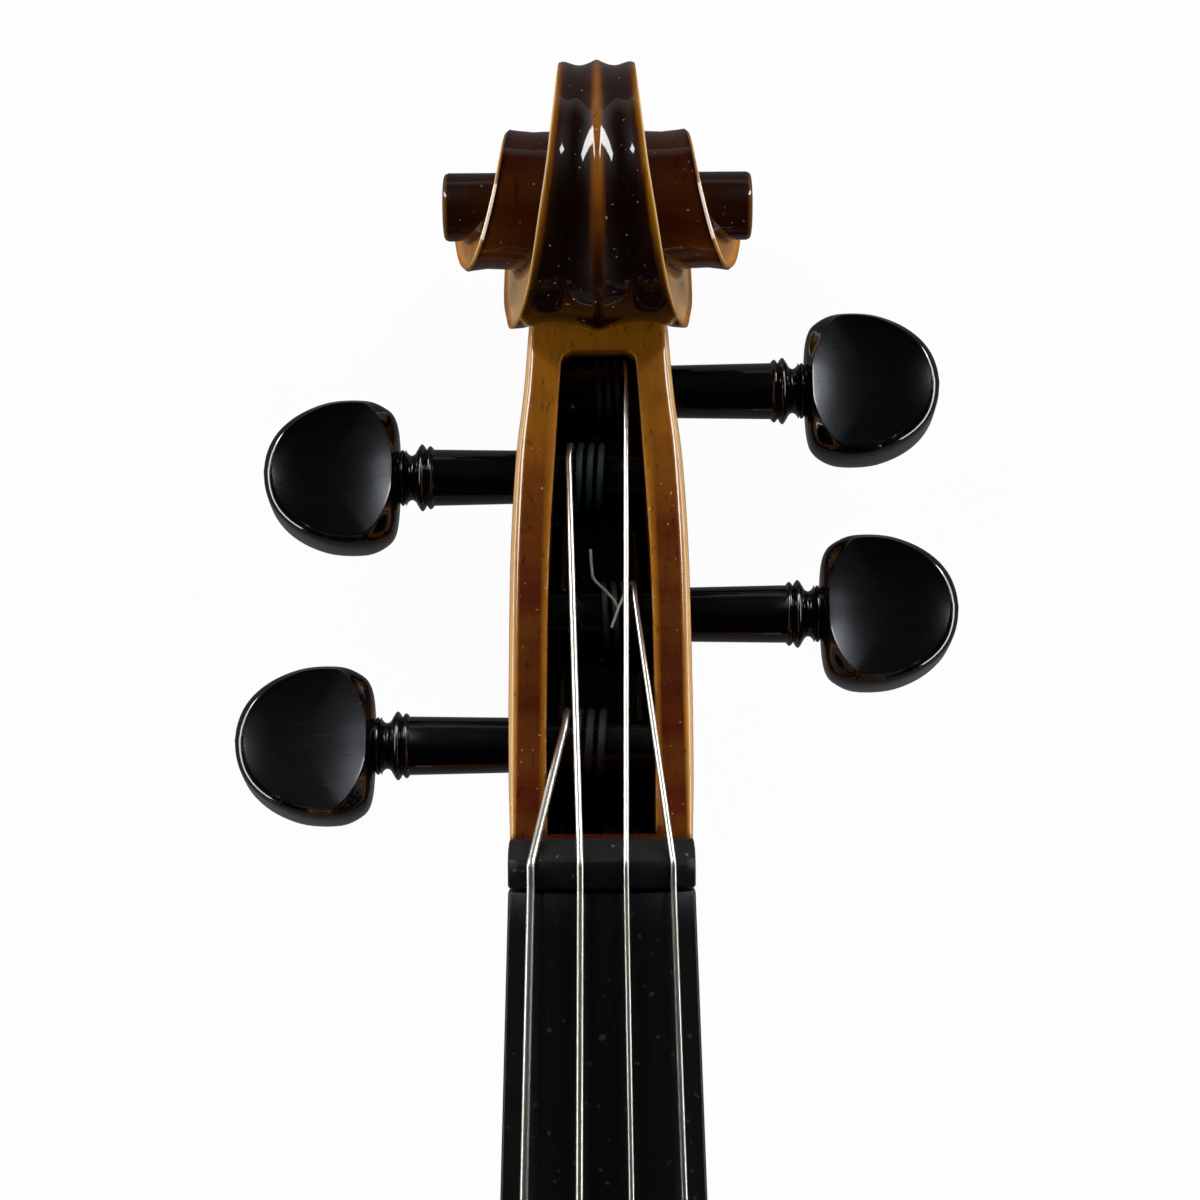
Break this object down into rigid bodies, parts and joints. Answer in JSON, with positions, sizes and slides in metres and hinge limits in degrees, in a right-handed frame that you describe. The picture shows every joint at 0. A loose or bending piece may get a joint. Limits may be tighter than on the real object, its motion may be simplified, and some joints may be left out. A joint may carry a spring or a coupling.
{
  "type": "viola",
  "caption": "Full-size viola set up with strings, bridge, tailpiece and turning friction pegs, lying on its arched back.",
  "frame": {"origin": "under the middle of the whole length, on the surface that the back rests on", "axes": "+Z from the back towards the strings, +Y from the end button towards the scroll, +X towards the treble side"},
  "size_m": [0.238, 0.682, 0.1115],
  "materials": {
    "varnished_maple": "glossy golden brown varnish over maple",
    "varnished_spruce": "glossy golden brown varnish over spruce",
    "plain_spruce": "bare planed spruce or willow",
    "bridge_maple": "bare maple",
    "ebony": "oiled satin black ebony",
    "wound_steel": "fine flat wire winding",
    "black_nylon": "smooth nylon cord"
  },
  "bodies": {
    "viola": {"back_plate": "varnished_maple", "bass_bar": "plain_spruce", "bridge": "bridge_maple", "corner_block_lower_bass": "plain_spruce", "corner_block_lower_treble": "plain_spruce", "corner_block_upper_bass": "plain_spruce", "corner_block_upper_treble": "plain_spruce", "end_block": "plain_spruce", "end_button": "ebony", "fingerboard": "ebony", "lining_back_lower_bass": "plain_spruce", "lining_back_lower_treble": "plain_spruce", "lining_back_middle_bass": "plain_spruce", "lining_back_middle_treble": "plain_spruce", "lining_back_upper_bass": "plain_spruce", "lining_back_upper_treble": "plain_spruce", "lining_top_lower_bass": "plain_spruce", "lining_top_lower_treble": "plain_spruce", "lining_top_middle_bass": "plain_spruce", "lining_top_middle_treble": "plain_spruce", "lining_top_upper_bass": "plain_spruce", "lining_top_upper_treble": "plain_spruce", "neck_and_scroll": "varnished_maple", "neck_block": "plain_spruce", "nut": "ebony", "rib_lower_bass": "varnished_maple", "rib_lower_treble": "varnished_maple", "rib_middle_bass": "varnished_maple", "rib_middle_treble": "varnished_maple", "rib_upper_bass": "varnished_maple", "rib_upper_treble": "varnished_maple", "saddle": "ebony", "sound_post": "plain_spruce", "string_a": "wound_steel", "string_c": "wound_steel", "string_d": "wound_steel", "string_g": "wound_steel", "tailgut": "black_nylon", "tailpiece": "ebony", "tailpiece_fret": "ebony", "top_plate": "varnished_spruce"},
    "peg_c": {"peg_c": "ebony"},
    "peg_a": {"peg_a": "ebony"},
    "peg_g": {"peg_g": "ebony"},
    "peg_d": {"peg_d": "ebony"}
  },
  "joints": [
    {"name": "peg_c_turn", "type": "hinge", "parent": "viola", "child": "peg_c", "pos_m": [0, 0.24221, 0.03662], "axis": [-1, 0, 0], "continuous": true},
    {"name": "peg_a_turn", "type": "hinge", "parent": "viola", "child": "peg_a", "pos_m": [0, 0.26052, 0.0312], "axis": [1, 0, 0], "continuous": true},
    {"name": "peg_g_turn", "type": "hinge", "parent": "viola", "child": "peg_g", "pos_m": [0, 0.28066, 0.02523], "axis": [-1, 0, 0], "continuous": true},
    {"name": "peg_d_turn", "type": "hinge", "parent": "viola", "child": "peg_d", "pos_m": [0, 0.29322, 0.02151], "axis": [1, 0, 0], "continuous": true}
  ]
}
